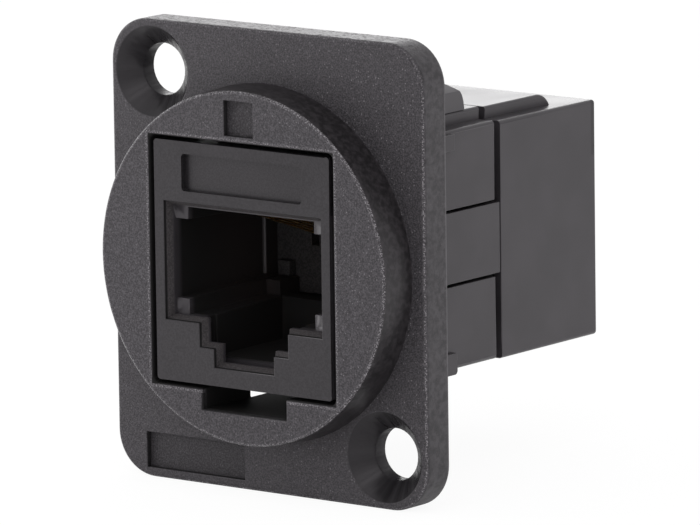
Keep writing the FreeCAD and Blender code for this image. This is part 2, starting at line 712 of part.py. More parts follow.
def contact(label, number):
    """one bent wire: its tail in the board, its run in a groove, and its spring over the plug"""
    body = new_body(label)
    path = new_sketch(body, "path", "side", wire_across(number))
    if number % 2 == 0:
        level = LOW_ROW
        run = spring(path, (value(KINK_DEPTH), value("wire_level")))
        kinked_tail(path, (value(TAIL_END), value(LOW_ROW)), run)
    else:
        level = "wire_level"
        run = spring(path, (value(TAIL_END), value("wire_level")))
        place(path, run, 1, TAIL_END, "wire_level")
    section = new_sketch(body, "section", "front", TAIL_END)
    middle = wire_across(number)
    outline(section, rectangle(f"{middle} - wire_width / 2", f"{middle} + wire_width / 2",
                               f"{level} - wire_thickness / 2", f"{level} + wire_thickness / 2"))
    doc.recompute()
    swept = body.newObject("PartDesign::AdditivePipe", "wire")
    swept.Profile = section
    swept.Spine = (path, [f"Edge{i + 1}" for i in range(len(path.Shape.Edges))])
    body.setExpression("Placement.Base.y", bound(f"-{FACE}"))
    doc.recompute()
    return body


def build():
    enter_sizes()
    pieces = [flange_frame(), front_housing(), rear_housing()]
    front_carrier = carrier("front_contact_carrier")
    front_carrier.setExpression("Placement.Base.y", bound(f"-{FACE}"))
    pieces += [front_carrier, turned_to_rear(carrier("rear_contact_carrier")), circuit_board()]
    for number in range(1, CONTACTS + 1):
        pieces.append(contact(f"front_contact_{number}", number))
        pieces.append(turned_to_rear(contact(f"rear_contact_{number}", number)))
    doc.recompute()
    return pieces


def check(pieces):
    """stops if any object of the document failed or any piece has no sound shape"""
    for item in doc.Objects:
        if {"Invalid", "Error"} & set(item.State):
            raise ValueError(f"{item.Label} failed: {item.State}")
    for piece in pieces:
        if piece.Shape.isNull() or not piece.Shape.isValid():
            raise ValueError(f"{piece.Label} has no sound shape")


def write(pieces):
    os.makedirs("parts", exist_ok=True)
    for piece in pieces:
        piece.Shape.exportStep(f"parts/{piece.Label}.step")
        print(f"{piece.Label}: {len(piece.Shape.Solids)} solid, {piece.Shape.Volume:.2f} mm3")


parts = build()
check(parts)
write(parts)
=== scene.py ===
# %% [markdown]
# # A panel-mount feed-through telephone socket
#
# The object is a small black connector. A flange with a round boss is screwed to a panel, and a coupler
# with a telephone socket at each end is snapped into it. This lesson dresses the measured solids: it
# softens their edges as a mould does, gives each plastic its own skin, and lights the part as on a
# white table. The solids themselves are loaded first and are never moved.

# %% Load the solids
import math

import bmesh
import bpy
from mathutils import Matrix, Vector


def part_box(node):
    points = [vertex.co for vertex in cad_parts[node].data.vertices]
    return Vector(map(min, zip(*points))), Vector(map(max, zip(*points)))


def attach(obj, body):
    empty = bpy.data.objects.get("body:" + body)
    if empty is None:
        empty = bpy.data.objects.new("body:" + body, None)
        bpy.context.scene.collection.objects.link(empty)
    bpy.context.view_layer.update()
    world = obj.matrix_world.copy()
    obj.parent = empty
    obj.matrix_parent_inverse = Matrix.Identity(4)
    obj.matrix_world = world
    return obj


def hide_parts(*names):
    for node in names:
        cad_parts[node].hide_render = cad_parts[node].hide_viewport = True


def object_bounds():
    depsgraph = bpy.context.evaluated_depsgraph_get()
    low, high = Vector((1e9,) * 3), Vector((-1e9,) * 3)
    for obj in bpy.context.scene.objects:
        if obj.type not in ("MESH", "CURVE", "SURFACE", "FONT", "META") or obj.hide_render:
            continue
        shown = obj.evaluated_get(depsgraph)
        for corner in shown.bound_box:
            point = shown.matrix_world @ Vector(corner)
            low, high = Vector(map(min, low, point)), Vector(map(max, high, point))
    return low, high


MM = 0.001

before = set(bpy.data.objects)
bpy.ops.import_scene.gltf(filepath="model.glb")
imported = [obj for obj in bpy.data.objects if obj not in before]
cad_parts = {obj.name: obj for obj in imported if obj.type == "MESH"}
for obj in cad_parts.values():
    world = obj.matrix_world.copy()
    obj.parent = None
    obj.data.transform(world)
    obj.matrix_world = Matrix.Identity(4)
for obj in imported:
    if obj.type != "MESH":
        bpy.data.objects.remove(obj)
solid_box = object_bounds()


def in_mm(box):
    """the two corners of a box in millimetres, for printing"""
    return [[round(c / MM, 2) for c in corner] for corner in box]


print("solids:", len(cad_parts), "box:", in_mm(solid_box))

# %% [markdown]
# ## Edges that a mould leaves
#
# No moulded edge is sharp: the steel is rounded where it was polished, so every edge of the plastic
# carries a hairline of light. A bump in the material could fake that line, but it would be lost in the
# silhouette. So each solid is copied, its loose triangles are welded and joined into whole faces, and
# its hard edges get a real bevel. The copy stands for the solid, with the same outline and place.
#
# Two kinds of edge stay sharp. The ends of the flange's slot and of the guide rails deep in each throat
# are hidden, and meet corners where a bevel would fold over itself. The foot of the top tongue is let
# down by the small gap of the fit instead, because the real tongue presses on the coupler and shows no
# line there.

# %% Which edges are rounded
WELD = 0.0005 * MM
CLOSE = 10 * WELD
HARD_ANGLE = math.radians(40)
FRONT_FACE, REAR_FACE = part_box("front_housing")[0].y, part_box("rear_housing")[1].y
THROAT_END, RAIL_END = 10.0 * MM, 0.887 * MM
FLANGE_REAR, SLOT_HEIGHT = 0.0, 1.4 * MM
TONGUE_FOOT, SEAT_GAP = 8.975 * MM, 0.045 * MM
# each pair is the y of the plane that holds such edges, and their length
TUCKED_AWAY = [
    (FLANGE_REAR, SLOT_HEIGHT),
    (FRONT_FACE + THROAT_END, RAIL_END),
    (REAR_FACE - THROAT_END, RAIL_END),
]


def hard_edges(shape, reach):
    """outward edges between two faces that meet at a hard angle, long enough to take a bevel"""
    outward = [edge for edge in shape.edges if edge.is_convex and edge.calc_length() > reach]
    return [edge for edge in outward if edge.calc_face_angle() > HARD_ANGLE]


def tucked_away(edge):
    """true for the hidden edges that end in a corner where a bevel would fold over itself"""
    for plane, length in TUCKED_AWAY:
        off_plane = max(abs(vertex.co.y - plane) for vertex in edge.verts)
        if off_plane < CLOSE and abs(edge.calc_length() - length) < CLOSE:
            return True
    return False


def seated(vertex):
    """true on the foot of the tongue, which rests on the coupler's top strip"""
    return abs(vertex.co.z - TONGUE_FOOT) < CLOSE and vertex.co.y > 0


def stays_sharp(edge):
    """true for a hard edge that gets no bevel"""
    return all(map(seated, edge.verts)) or tucked_away(edge)


print("coupler from", round(FRONT_FACE / MM, 2), "to", round(REAR_FACE / MM, 2), "mm along y")

# %% One helper that rounds the hard edges of a solid
FLAT_ANGLE = math.radians(0.6)
SMOOTH_ANGLE = math.radians(33)
ROUND_STEPS = 2


def as_object(shape, name):
    """an object in the scene with the shape of a bmesh, which is freed"""
    mesh = bpy.data.meshes.new(name)
    shape.to_mesh(mesh)
    shape.free()
    thing = bpy.data.objects.new(name, mesh)
    bpy.context.collection.objects.link(thing)
    return thing


def softened(node, name, width):
    """a welded copy of a solid with its hard edges rounded, which stands for that solid"""
    shape = bmesh.new()
    shape.from_mesh(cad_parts[node].data)
    bmesh.ops.remove_doubles(shape, verts=shape.verts, dist=WELD)
    bmesh.ops.dissolve_limit(shape, angle_limit=FLAT_ANGLE, verts=shape.verts, edges=shape.edges)
    edges = [edge for edge in hard_edges(shape, width) if not stays_sharp(edge)]
    rounded = len(edges)
    bmesh.ops.translate(shape, verts=list(filter(seated, shape.verts)), vec=(0, 0, -SEAT_GAP))
    bmesh.ops.bevel(shape, geom=edges, offset=width, offset_type="OFFSET", affect="EDGES",
                    segments=ROUND_STEPS, profile=0.5, material=-1, clamp_overlap=False)
    bmesh.ops.remove_doubles(shape, verts=shape.verts, dist=WELD)
    bmesh.ops.dissolve_degenerate(shape, dist=WELD, edges=shape.edges)
    piece = as_object(shape, name)
    piece.data.shade_smooth()
    piece.data.set_sharp_from_angle(angle=SMOOTH_ANGLE)
    weighted = piece.modifiers.new("even_shading", "WEIGHTED_NORMAL")
    weighted.keep_sharp = True
    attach(piece, "root")
    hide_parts(node)
    print(f"{name}: {len(piece.data.polygons)} faces, {rounded} edges rounded")
    return piece


# %% Round the mouldings, the insulators, the board and the springs
MOULD_EDGE = 0.06 * MM
SPRING_EDGE = 0.04 * MM
CONTACTS = 6
ENDS = ("front", "rear")

frame_moulding = softened("flange_frame", "frame_moulding", MOULD_EDGE)
halves = [softened(f"{end}_housing", f"{end}_half", MOULD_EDGE) for end in ENDS]
insulators = [softened(f"{end}_contact_carrier", f"{end}_insulator", SPRING_EDGE) for end in ENDS]
board = softened("circuit_board", "joining_board", SPRING_EDGE)
springs = [softened(f"{end}_contact_{number}", f"{end}_spring_{number}", SPRING_EDGE)
           for end in ENDS for number in range(1, CONTACTS + 1)]

# %% [markdown]
# ## Shader maths that reads like maths
#
# A finish is a small sum: a colour here, a little more roughness there, a mask that fades one into the
# other. Written as nodes and links it takes pages, so one class wraps a socket and turns ordinary
# expressions into Math nodes. Any other node comes from its one method.

# %% A socket that can be added and multiplied
class Wire:
    """the output of a node, in sums and products that become Math nodes"""

    def __init__(self, tree, socket):
        self.tree = tree
        self.socket = socket

    def node(self, kind, settings=None, inputs=None, output=0):
        """any node of this tree: its settings first, then the values or links of its sockets"""
        made = self.tree.nodes.new(kind)
        for name, setting in (settings or {}).items():
            setattr(made, name, setting)
        for name, source in (inputs or {}).items():
            if isinstance(source, Wire):
                self.tree.links.new(source.socket, made.inputs[name])
            else:
                made.inputs[name].default_value = source
        return Wire(self.tree, made.outputs[output]) if made.outputs else made

    def beside(self, name):
        """another output of the same node"""
        return Wire(self.tree, self.socket.node.outputs[name])

    def maths(self, operation, *values):
        """a Math node with these values, numbers or wires, in the order of its sockets"""
        return self.node("ShaderNodeMath", {"operation": operation}, dict(enumerate(values)))

    def __add__(self, other):
        return self.maths("ADD", self, other)

    __radd__ = __add__

    def __sub__(self, other):
        return self.maths("SUBTRACT", self, other)

    def __rsub__(self, other):
        return self.maths("SUBTRACT", other, self)

    def __mul__(self, other):
        return self.maths("MULTIPLY", self, other)

    __rmul__ = __mul__

    def __pow__(self, other):
        return self.maths("POWER", self, other)

    def __abs__(self):
        return self.maths("ABSOLUTE", self)

    def at_least(self, other):
        """the larger of the two"""
        return self.maths("MAXIMUM", self, other)

    def at_most(self, other):
        """the smaller of the two"""
        return self.maths("MINIMUM", self, other)

    def rise(self, low, high):
        """0 below the low value, 1 above the high one, and smooth between them"""
        ends = {"Value": self, "From Min": low, "From Max": high}
        return self.node("ShaderNodeMapRange", {"interpolation_type": "SMOOTHSTEP"}, ends)

    def fall(self, low, high):
        """1 below the low value, 0 above the high one, and smooth between them"""
        return 1 - self.rise(low, high)

    def between(self, low, high, soft):
        """1 between two values and 0 outside them, with soft ends"""
        return self.rise(low - soft, low + soft) * self.fall(high - soft, high + soft)


# %% Helpers for colours, grains and dents
def new_finish(name):
    """a material, and a wire with the place of each point of the object in metres"""
    material = bpy.data.materials.new(name)
    material.use_nodes = True
    tree = material.node_tree
    coordinates = tree.nodes.new("ShaderNodeTexCoord")
    return material, Wire(tree, coordinates.outputs["Object"])


def axes(place):
    """the three coordinates of a place, each as a wire"""
    parts = place.node("ShaderNodeSeparateXYZ", None, {"Vector": place})
    return [parts.beside(name) for name in "XYZ"]


def noise(place, grain, detail=2.0, roughness=0.5):
    """soft random values about 0.5 whose grain is a size in metres"""
    inputs = {"Vector": place, "Scale": 1 / grain, "Detail": detail, "Roughness": roughness}
    return place.node("ShaderNodeTexNoise", {"normalize": True}, inputs)


def blend(first, second, factor):
    """one colour fading into another, by the sockets that the Mix node keeps for colours"""
    return factor.node("ShaderNodeMix", {"data_type": "RGBA"}, {0: factor, 6: first, 7: second}, output=2)


def bump(height, depth, strength):
    """a normal from a height of 0 to 1 that stands for a depth in metres"""
    return height.node("ShaderNodeBump", None, {"Height": height, "Distance": depth, "Strength": strength})


# %% Helpers that put a finish on a piece
MATT_ROUGHNESS, MATT_SPECULAR = 0.75, 0.22


def dress(material, links, values):
    """links what changes over the surface to the shader, and sets what is the same all over"""
    shader = material.node_tree.nodes["Principled BSDF"]
    for name, wire in links.items():
        material.node_tree.links.new(wire.socket, shader.inputs[name])
    for name, number in values.items():
        shader.inputs[name].default_value = number
    print("finish:", material.name, len(material.node_tree.nodes), "nodes")
    return material


def dull_where(material, mask, colour):
    """shows a second shader where a mask is 1: a colour with hardly any sheen"""
    tree = material.node_tree
    surface = tree.nodes["Material Output"].inputs["Surface"]
    sheen = Wire(tree, surface.links[0].from_socket)
    matt = {"Base Color": colour, "Roughness": MATT_ROUGHNESS, "Specular IOR Level": MATT_SPECULAR}
    dull = mask.node("ShaderNodeBsdfPrincipled", None, matt)
    both = mask.node("ShaderNodeMixShader", None, {0: mask, 1: sheen, 2: dull})
    tree.links.new(both.socket, surface)


def give(material, slot, *pieces):
    """puts a finish on pieces, as the only one they have; the slot argument is not used"""
    for piece in pieces:
        piece.data.materials.clear()
        piece.data.materials.append(material)


# %% [markdown]
# ## The frame's spark-eroded skin
#
# The mould for the frame was cut by sparks, which leave a field of tiny craters. The plastic copies them as
# a dry, sandy skin. Painted glints lie on it: stray bright specks, thickest along the rims, which stand for
# craters that catch light.
# Not all of it is sandy. The countersinks were turned and polished, the boss's side and the flange's rim
# drew along the steel, and the parts behind the panel come from a plain ground mould. Each region could
# be a set of faces with a material of its own, but the skin changes softly from one to the next. So there
# is one material, and each region is a mask that is told apart by where it lies.

# %% Places on the frame
frame_low, frame_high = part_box("flange_frame")
SCREW_X, SCREW_Z = 9.5 * MM, 12.0 * MM
SINK_RADIUS, HOLE_RADIUS = 3.05 * MM, 1.80 * MM
CORNER = 3.0 * MM
CORNER_X, CORNER_Z = frame_high.x - CORNER, frame_high.z - CORNER
BOSS_RADIUS, BOSS_FRONT, FLANGE_FRONT = 11.82 * MM, frame_low.y, -2.4 * MM
WINDOW_X, WINDOW_Z = 7.63 * MM, 8.335 * MM
HAIR = 0.05 * MM


def from_screw(x, z):
    """the way across and up from the nearer screw's axis; the two screws stand on a diagonal"""
    side = x.maths("SIGN", x)
    return x - side * SCREW_X, z + side * SCREW_Z


def near_screw(x, z, radius):
    """1 within a radius of the nearer screw's axis and 0 outside it"""
    across, above = from_screw(x, z)
    return (across * across + above * above).fall((radius - HAIR) ** 2, (radius + HAIR) ** 2)


def round_screw(x, z):
    """the turn about the nearer screw's axis, in radians, as the first part of a vector"""
    across, above = from_screw(x, z)
    return x.node("ShaderNodeCombineXYZ", None, {"X": x.maths("ARCTAN2", above, across)})


def flange_reach(x, z):
    """how far a point is from the middles of the flange's rounded corners, as the corners' radius counts"""
    over_x = (abs(x) - CORNER_X).at_least(0.0)
    over_z = (abs(z) - CORNER_Z).at_least(0.0)
    return (over_x * over_x + over_z * over_z) ** 0.5


def window_reach(x, z):
    """how far a point is outside the window's outline, less than 0 inside it"""
    return (abs(x) - WINDOW_X).at_least(abs(z) - WINDOW_Z)


print("frame box:", in_mm((frame_low, frame_high)))

# %% Regions of the frame
CRISP, SOFT, HAZY = 0.02 * MM, 0.03 * MM, 0.04 * MM
EDGE_DEPTH, TOP_SPAN = 0.08 * MM, 0.5 * MM

material, place = new_finish("spark_eroded_black")
x, y, z = axes(place)
radius = (x * x + z * z) ** 0.5
into_boss = BOSS_RADIUS - radius
into_flange = CORNER - flange_reach(x, z)
outside = window_reach(x, z)
boss_depth = y - BOSS_FRONT
flange_depth = y - FLANGE_FRONT

polished = near_screw(x, z, SINK_RADIUS) * y.fall(-3 * HAIR, -HAIR)
bored = near_screw(x, z, HOLE_RADIUS)
boss_side = into_boss.fall(MOULD_EDGE, 2 * MOULD_EDGE) * y.between(
    BOSS_FRONT + EDGE_DEPTH, FLANGE_FRONT - MOULD_EDGE, SOFT)
boss_face = boss_depth.fall(HAIR, 2 * HAIR) * (1 - boss_side)
drawn = into_flange.fall(CRISP, MOULD_EDGE)
flank = drawn * abs(x).rise(CORNER_X, CORNER_X + CORNER)
top = z.rise(CORNER_Z, CORNER_Z + TOP_SPAN)
behind = y.rise(HAIR, 2 * HAIR)
print("regions of the frame:", len(place.tree.nodes), "nodes")

# %% [markdown]
# ### Lines along the rims
#
# A pale, broken line of craters follows each rim of the real frame, with a smooth hairline on the boss's
# very edge. The pale crater lines are painted highlights, where the craters catch light. The flange's top
# rim gets a painted dark line of shade in front, and its sides a painted pale highlight at the rear. Such
# lines could be narrow faces, but they are a tenth of a millimetre wide and fade out. So each is a mask
# again: a band at some distance from the edge, which fades with the depth behind the face.

# %% Rims and lines
FLANGE_RIM = {"band": (0.04 * MM, 0.16 * MM), "soft": SOFT, "fade": (0.10 * MM, 0.30 * MM)}
BOSS_RIM = {"band": (-0.02 * MM, 0.20 * MM), "soft": HAZY, "fade": (0.08 * MM, 0.16 * MM)}
BOSS_LINE = {"band": (-0.03 * MM, 0.12 * MM), "soft": CRISP, "fade": (0.10 * MM, 0.14 * MM)}
WINDOW_RIM = {"band": (0.12 * MM, 0.28 * MM), "soft": HAZY, "fade": (0.10 * MM, 0.20 * MM)}
TOP_LINE_WIDTH, TOP_LINE_DEPTH = (0.07 * MM, 0.11 * MM), (0.04 * MM, 0.08 * MM)
REAR_LINE = (-0.20 * MM, -0.10 * MM)
TOP_RIM_LOSS = 0.5


def along_edge(distance, depth, band, soft, fade):
    """1 on a band at a distance from an edge, fading with the depth behind the face"""
    return distance.between(*band, soft) * depth.fall(*fade)


# bands along the rims, on which pale crater lines are painted as highlights
flange_rim = along_edge(into_flange, flange_depth, **FLANGE_RIM) * (1 - TOP_RIM_LOSS * top)
boss_rim = along_edge(into_boss, boss_depth, **BOSS_RIM)
window_rim = along_edge(outside, boss_depth, **WINDOW_RIM)
rims = boss_rim.at_least(flange_rim.at_least(window_rim))
edge_line = along_edge(into_boss, boss_depth, **BOSS_LINE)
# painted shade: a dark line along the flange's top rim, in front
top_shade_line = top * into_flange.fall(*TOP_LINE_WIDTH) * flange_depth.fall(*TOP_LINE_DEPTH)
# painted highlight: a pale line at the rear of the flange's sides
rear_highlight_line = flank * y.rise(*REAR_LINE) * (1 - behind)
print("with the lines:", len(place.tree.nodes), "nodes")

# %% [markdown]
# ### Sunken fields, window and slot
#
# A shallow field is sunk into the boss and another into the flange, and both look darker than the skin
# round them, most of all on their walls, where shade falls. The walls of the window and the slot lie in
# shade and look nearly black. The shapes are in the solid already, so only painted shade is added, by depth
# and by distance from the rims.

# %% Darker fields and walls
FIELD_DEPTH, FIELD_MARGIN = 0.43 * MM, (0.30 * MM, 0.35 * MM)
FIELD_SHADE, FIELD_WALL_SHADE = 0.25, 0.55
SLOT_X, SLOT_LOW, SLOT_HIGH = 3.55 * MM, -9.8 * MM, -7.0 * MM
SLOT_DARKENS = (0.3 * MM, 0.6 * MM)

on_boss = outside.rise(*FIELD_MARGIN) * into_boss.rise(*FIELD_MARGIN)
on_flange = (1 - polished) * (radius - BOSS_RADIUS).rise(*FIELD_MARGIN) * into_flange.rise(*FIELD_MARGIN)


def sunk(depth):
    """1 in the two sunken fields, from just under the surface down to a depth"""
    in_boss = on_boss * boss_depth.between(HAIR, depth, CRISP)
    return in_boss + on_flange * flange_depth.between(HAIR, depth, CRISP)


# painted shade in the sunken fields, strongest on their walls
fields = sunk(2 * FIELD_DEPTH) * FIELD_SHADE + sunk(FIELD_DEPTH - SOFT) * FIELD_WALL_SHADE
# painted shade: the walls of the window and the slot are shown nearly black
window_wall = outside.fall(HAIR, HAIR + MOULD_EDGE)
slot_width = abs(x).fall(SLOT_X, SLOT_X + HAIR)
in_slot = z.between(SLOT_LOW, SLOT_HIGH, HAIR) * slot_width * boss_depth.rise(*SLOT_DARKENS)
print("with the fields:", len(place.tree.nodes), "nodes")

# %% [markdown]
# ### Sand, streaks and painted glints
#
# The craters are a tenth of a millimetre across, too fine to model, so they are noise in the colour and the
# bump. Painted glints, stray bright specks where single craters would catch light, are the middles of a few
# random cells. A turned cone shines in streaks that run down it, across the fine rings of the tool. So the
# countersinks get painted streaks of sheen, paler and rougher, whose noise reads the turn about the screw's
# axis. Each pair called a contrast gives the values of a noise that become 0 and 1.

# %% Noise for the frame
SAND_GRAIN, CREST_GRAIN, PIT_GRAIN = 0.11 * MM, 0.10 * MM, 0.22 * MM
MOTTLE_GRAIN, CLOUD_GRAIN, STREAK_TURN = 0.40 * MM, 2.5 * MM, 0.30
EVEN_CONTRAST, PIT_CONTRAST, CREST_CONTRAST = (0.35, 0.65), (0.34, 0.50), (0.48, 0.66)

sand = noise(place, SAND_GRAIN, detail=3.0, roughness=0.65)
mottle = noise(place, MOTTLE_GRAIN, roughness=0.6)
cloud = noise(place, CLOUD_GRAIN)
streaks = noise(round_screw(x, z), STREAK_TURN, roughness=0.6).rise(*EVEN_CONTRAST)
pits = noise(place, PIT_GRAIN, roughness=0.6).fall(*PIT_CONTRAST) * drawn * (1 - flank)
crest = noise(place, CREST_GRAIN, roughness=0.7).rise(*CREST_CONTRAST)
print("with the noise:", len(place.tree.nodes), "nodes")

# %% Painted glints of the frame
STRAY_CELL, STRAY_SIZE, STRAY_CHANCE = 0.20 * MM, (0.10, 0.34), (0.45, 1.0)
STRAY_SHARE, CREST_SHARE, REAR_LINE_SHARE = 0.25, 0.9, 0.2
TOWARDS_RIGHT = (-6.0 * MM, 8.0 * MM)
FLANK_SHARE = 0.85

sandy = (1 - polished) * (1 - boss_side) * (1 - FLANK_SHARE * flank) * (1 - behind) * (1 - edge_line)
cells = place.node("ShaderNodeTexVoronoi", {"feature": "F1"}, {"Vector": place, "Scale": 1 / STRAY_CELL})
pick = cells.beside("Color")
chance = pick.node("ShaderNodeSeparateColor", None, {"Color": pick})
# stray: painted glints, single bright specks that stand for craters catching light
stray = cells.fall(*STRAY_SIZE) * chance.rise(*STRAY_CHANCE) * sandy
# painted light: the glints grow denser towards the right, where more light falls
more_at_right = STRAY_SHARE + STRAY_SHARE * x.rise(*TOWARDS_RIGHT)
# all painted highlights: stray glints, pale crater lines on the rims and a pale line at the rear of the
# sides
painted_glints = stray * more_at_right + crest * rims * CREST_SHARE + rear_highlight_line * REAR_LINE_SHARE
print("with the grains:", len(place.tree.nodes), "nodes")

# %% Frame finish
FRAME_BLACK, FRAME_GREY = (0.0130, 0.0118, 0.0136, 1.0), (0.0705, 0.0650, 0.0718, 1.0)
BOSS_GREY = (0.0790, 0.0732, 0.0813, 1.0)
SIDE_BLACK, SIDE_GREY = (0.0095, 0.0085, 0.0093, 1.0), (0.0300, 0.0268, 0.0294, 1.0)
FLANK_BLACK, FLANK_GREY = (0.0120, 0.0108, 0.0122, 1.0), (0.0520, 0.0480, 0.0526, 1.0)
# CONE_GREY is the paler colour of the painted sheen streaks on the countersinks
CONE_BLACK, CONE_GREY = (0.0060, 0.0055, 0.0062, 1.0), (0.0360, 0.0330, 0.0365, 1.0)
REAR_GREY = (0.0700, 0.0660, 0.0710, 1.0)
# the pale colour of the painted glints and highlight lines
PAINTED_GLINT_LIGHT = (0.30, 0.283, 0.30, 1.0)
# a near-black for painted shade: fields, top rim, window, slot, throat and land
PAINTED_SHADE_BLACK = (0.0070, 0.0064, 0.0067, 1.0)
PLASTIC_IOR = 1.5
PLASTIC = {"IOR": PLASTIC_IOR, "Specular Tint": (1.0, 0.95, 1.0, 1.0)}
SAND_CONTRAST, SIDE_CONTRAST, FLANK_CONTRAST = (0.36, 0.68), (0.35, 0.70), (0.30, 0.70)
CLOUD_SHARE = 0.1
# the roughness of the polished skin, and what moulding, sand and pits add to it
POLISHED, MOULDED, SANDED, PITTED = 0.24, 0.16, 0.20, 0.25
SAND_HEIGHT, SAND_STRENGTH, DRAWN_LOSS = 0.03 * MM, 0.8, 0.6
CONE_DULL, STREAK_DULL, BORE_DULL, TOP_LINE_DULL = 0.22, 0.46, 0.2, 0.7

sand_mix = sand.rise(*SAND_CONTRAST) * (1 - CLOUD_SHARE) + cloud * CLOUD_SHARE
skin = blend(FRAME_BLACK, blend(FRAME_GREY, BOSS_GREY, boss_face), sand_mix)
skin = blend(skin, CONE_BLACK, polished)
skin = blend(skin, blend(SIDE_BLACK, SIDE_GREY, mottle.rise(*SIDE_CONTRAST)), boss_side)
skin = blend(skin, blend(FLANK_BLACK, FLANK_GREY, mottle.rise(*FLANK_CONTRAST)), flank * FLANK_SHARE)
skin = blend(skin, REAR_GREY, behind)
moulded = MOULDED * (1 - polished) * (1 - edge_line)
frame_skin = dress(material, {
    "Base Color": blend(skin, PAINTED_GLINT_LIGHT, painted_glints),
    "Roughness": POLISHED + moulded + SANDED * sandy * (1 - drawn) + PITTED * pits,
    "Normal": bump(sand * sandy * (1 - DRAWN_LOSS * drawn), SAND_HEIGHT, SAND_STRENGTH),
}, PLASTIC)
# partly rougher, partly painted sheen: paler streaks down the countersinks stand for the turned cones'
# streaks of light
dull_where(frame_skin, polished * (CONE_DULL + STREAK_DULL * streaks) + bored * BORE_DULL, CONE_GREY)
# painted shade on the fields and the top rim line, then on the window walls and the slot
dull_where(frame_skin, fields + top_shade_line * TOP_LINE_DULL, PAINTED_SHADE_BLACK)
dull_where(frame_skin, in_slot.at_least(window_wall), PAINTED_SHADE_BLACK)
give(frame_skin, "frame_plastic", frame_moulding)

# %% [markdown]
# ## The coupler's satin black
#
# The two halves of the coupler came from a ground mould, so their faces are even and satin, with a slow
# drift in the gloss where the melt flowed. Two sizes of noise do that: one over millimetres for the drift,
# one much finer for the ground steel. The face round each mouth is a little speckled, and painted darker
# than the sides as shade. The lead-in of the mouth was left as the sparks cut it, rough and paler. The
# throat behind it is painted shade, dull and very dark, a little less so at its far left, where some light
# comes in, up to a pale painted highlight line where it ends. A dark painted line of shade runs along the
# land at the mouth's edge. Depths are counted from the nearer face, so one material serves both halves.

# %% Regions of the coupler
MOUTH_X, MOUTH_LOW, MOUTH_HIGH = 6.65 * MM, -7.3 * MM, 4.2 * MM
BORE_HIGH, NOTCH_FLOOR = 5.75 * MM, -6.6 * MM
LAND_END, LIP_END = 0.24 * MM, 0.62 * MM
THROAT_DARKENS, NOTCH_DARKENS = (1.05 * MM, 1.6 * MM), (2.0 * MM, 4.0 * MM)
GLINT_DEPTH = (THROAT_END - 0.15 * MM, THROAT_END + 0.10 * MM)
GLINT_LOW = (-2.4 * MM, -2.3 * MM)
RECESS_DEPTH = (0.5 * MM, 0.6 * MM)
FAR_DEPTH, LEFT_SIDE = (2.0 * MM, 9.0 * MM), (-5.0 * MM, -3.0 * MM)
FACE_SHARE = 0.8

material, place = new_finish("satin_black")
x, y, z = axes(place)
depth = (y - FRONT_FACE).at_most(REAR_FACE - y)


def inside_mouth(high):
    """1 within the mouth's width, from the foot of its notch up to a height"""
    return abs(x).fall(MOUTH_X, MOUTH_X + HAIR) * z.between(MOUTH_LOW, high, HAIR)


in_mouth, in_bore = inside_mouth(MOUTH_HIGH), inside_mouth(BORE_HIGH)
# land: a narrow band at the mouth's edge, painted dark as shade
land = in_mouth * depth.between(HAIR, LAND_END, CRISP)
lip = in_mouth * depth.between(LAND_END, LIP_END, CRISP)
upper = z.rise(NOTCH_FLOOR, NOTCH_FLOOR + 4 * HAIR)
deep = upper * depth.rise(*THROAT_DARKENS) + (1 - upper) * depth.rise(*NOTCH_DARKENS)
# painted highlight: a pale line where the throat ends
glint = in_bore * depth.between(*GLINT_DEPTH, HAIR) * z.rise(*GLINT_LOW)
# painted shade: the throat is shown dull and near black
throat = in_bore * deep * (1 - glint)
# painted light: the throat's shade is lifted at its far left, where some light comes in
far_left = depth.rise(*FAR_DEPTH) * x.fall(*LEFT_SIDE)
recess = z.rise(MOUTH_HIGH, MOUTH_HIGH + HAIR) * depth.fall(*RECESS_DEPTH)
# face: the face round each mouth, which is painted darker than the sides as shade
face = depth.fall(HAIR, 2 * HAIR).at_least(recess) * FACE_SHARE
print("regions of the coupler:", len(place.tree.nodes), "nodes")

# %% Coupler finish
SATIN_BLACK, SATIN_GREY = (0.0300, 0.0273, 0.0306, 1.0), (0.0475, 0.0433, 0.0482, 1.0)
# the face round each mouth: speckled like the real one, and painted darker than the sides as shade
FACE_SHADE_BLACK, FACE_SHADE_GREY = (0.0010, 0.0009, 0.0010, 1.0), (0.0165, 0.0150, 0.0169, 1.0)
LIP_BLACK, LIP_GREY = (0.024, 0.021, 0.022, 1.0), (0.066, 0.060, 0.062, 1.0)
# the pale colour of that painted highlight line
GLINT_GREY = (0.12, 0.11, 0.115, 1.0)
# the colour of that painted lift of the throat's shade
PAINTED_THROAT_LIFT = (0.0240, 0.0190, 0.0193, 1.0)
DRIFT_GRAIN, GROUND_GRAIN, SPECKLE_GRAIN = 4.0 * MM, 0.09 * MM, 0.12 * MM
DRIFT_CONTRAST, LIP_CONTRAST, GROUND_SHARE = (0.3, 0.7), (0.35, 0.8), 0.4
# the roughness of the satin skin, and what the drift, the ground steel and the lead-in add to it
SATIN, DRIFTED, GROUND, LEAD_IN = 0.24, 0.10, 0.05, 0.45
GROUND_HEIGHT, GROUND_STRENGTH = 0.004 * MM, 0.5

